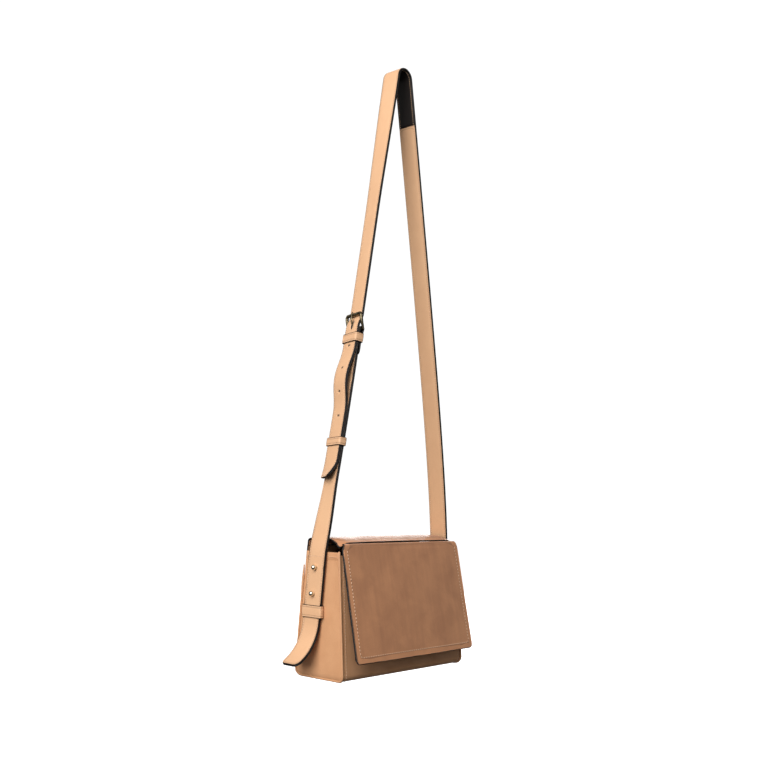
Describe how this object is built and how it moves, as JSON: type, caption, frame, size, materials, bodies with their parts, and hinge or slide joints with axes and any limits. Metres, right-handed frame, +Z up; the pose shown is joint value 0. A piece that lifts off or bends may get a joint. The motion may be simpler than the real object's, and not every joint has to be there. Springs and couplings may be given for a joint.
{
  "type": "sling bag",
  "caption": "Boxy leather sling bag with a front flap, hanging from a buckled shoulder strap that is studded to its gussets.",
  "frame": {"origin": "underside of the strap at its top, where a hook, hand or shoulder holds it", "axes": "+Z up, the flap faces -Y, the buckled strand is on the -X side"},
  "size_m": [0.2948, 0.101, 0.7862],
  "materials": {
    "body_leather": "vegetable-tanned natural leather, smooth, satin",
    "flap_leather": "the same leather, browner and mottled, satin",
    "strap_leather": "natural leather with dark painted edges and a stitched border",
    "lining_cloth": "black woven lining",
    "stiffener": "fibre board",
    "antique_brass": "dark antique brass, worn bright on its edges",
    "pale_brass": "pale polished brass",
    "steel": "plated steel"
  },
  "bodies": {
    "strap": {"strap_face": "strap_leather", "strap_backing_main": "strap_leather", "strap_backing_right": "strap_leather", "buckle_strap_face": "strap_leather", "buckle_strap_backing": "strap_leather", "buckle_keeper": "strap_leather"},
    "buckle": {"buckle_frame": "antique_brass"},
    "prong": {"buckle_prong": "antique_brass"},
    "slider": {"sliding_keeper": "strap_leather"},
    "pouch": {"body_wrap": "body_leather", "gusset_left": "body_leather", "gusset_right": "body_leather", "lining": "lining_cloth", "base_board": "stiffener", "magnet_catch": "steel", "magnet_catch_washer": "steel", "flap_anchor": "flap_leather", "strap_end_face_left": "strap_leather", "strap_end_backing_left": "strap_leather", "gusset_keeper_left": "strap_leather", "stud_plate_left": "stiffener", "stud_upper_left": "pale_brass", "stud_lower_left": "pale_brass", "stud_screw_upper_left": "steel", "stud_screw_lower_left": "steel", "strap_end_face_right": "strap_leather", "strap_end_backing_right": "strap_leather", "gusset_keeper_right": "strap_leather", "stud_plate_right": "stiffener", "stud_upper_right": "pale_brass", "stud_lower_right": "pale_brass", "stud_screw_upper_right": "steel", "stud_screw_lower_right": "steel"},
    "flap_top": {"flap_top_leather": "flap_leather", "flap_top_lining": "lining_cloth"},
    "flap_front": {"flap_front_leather": "flap_leather", "flap_front_lining": "lining_cloth", "magnet_flap": "steel", "magnet_flap_washer": "steel"}
  },
  "joints": [
    {"name": "strap_swing", "type": "hinge", "parent": "strap", "child": "pouch", "pos_m": [0, 0.003, -0.633], "axis": [1, 0, 0], "range_deg": [-20, 20], "stiffness_Nm_per_rad": 1.5, "springref_deg": -1.1},
    {"name": "flap_lift", "type": "hinge", "parent": "pouch", "child": "flap_top", "pos_m": [0, 0.0297, -0.6245], "axis": [-1, 0, 0], "range_deg": [0, 30]},
    {"name": "flap_fold", "type": "hinge", "parent": "flap_top", "child": "flap_front", "pos_m": [0, -0.0315, -0.6245], "axis": [-1, 0, 0], "range_deg": [-5, 100], "stiffness_Nm_per_rad": 0.1, "springref_deg": 4.61},
    {"name": "buckle_tilt", "type": "hinge", "parent": "strap", "child": "buckle", "pos_m": [-0.06891, -0.00621, -0.36023], "axis": [-0.2303, -0.9724, 0.0382], "range_deg": [0, 6]},
    {"name": "prong_lift", "type": "hinge", "parent": "buckle", "child": "prong", "pos_m": [-0.06891, -0.00621, -0.36023], "axis": [-0.2303, -0.9724, 0.0382], "range_deg": [0, 6]},
    {"name": "keeper_slide", "type": "slide", "parent": "strap", "child": "slider", "axis": [0.1634, -0.0274, 0.9862], "range_m": [-0.022, 0.018]}
  ]
}
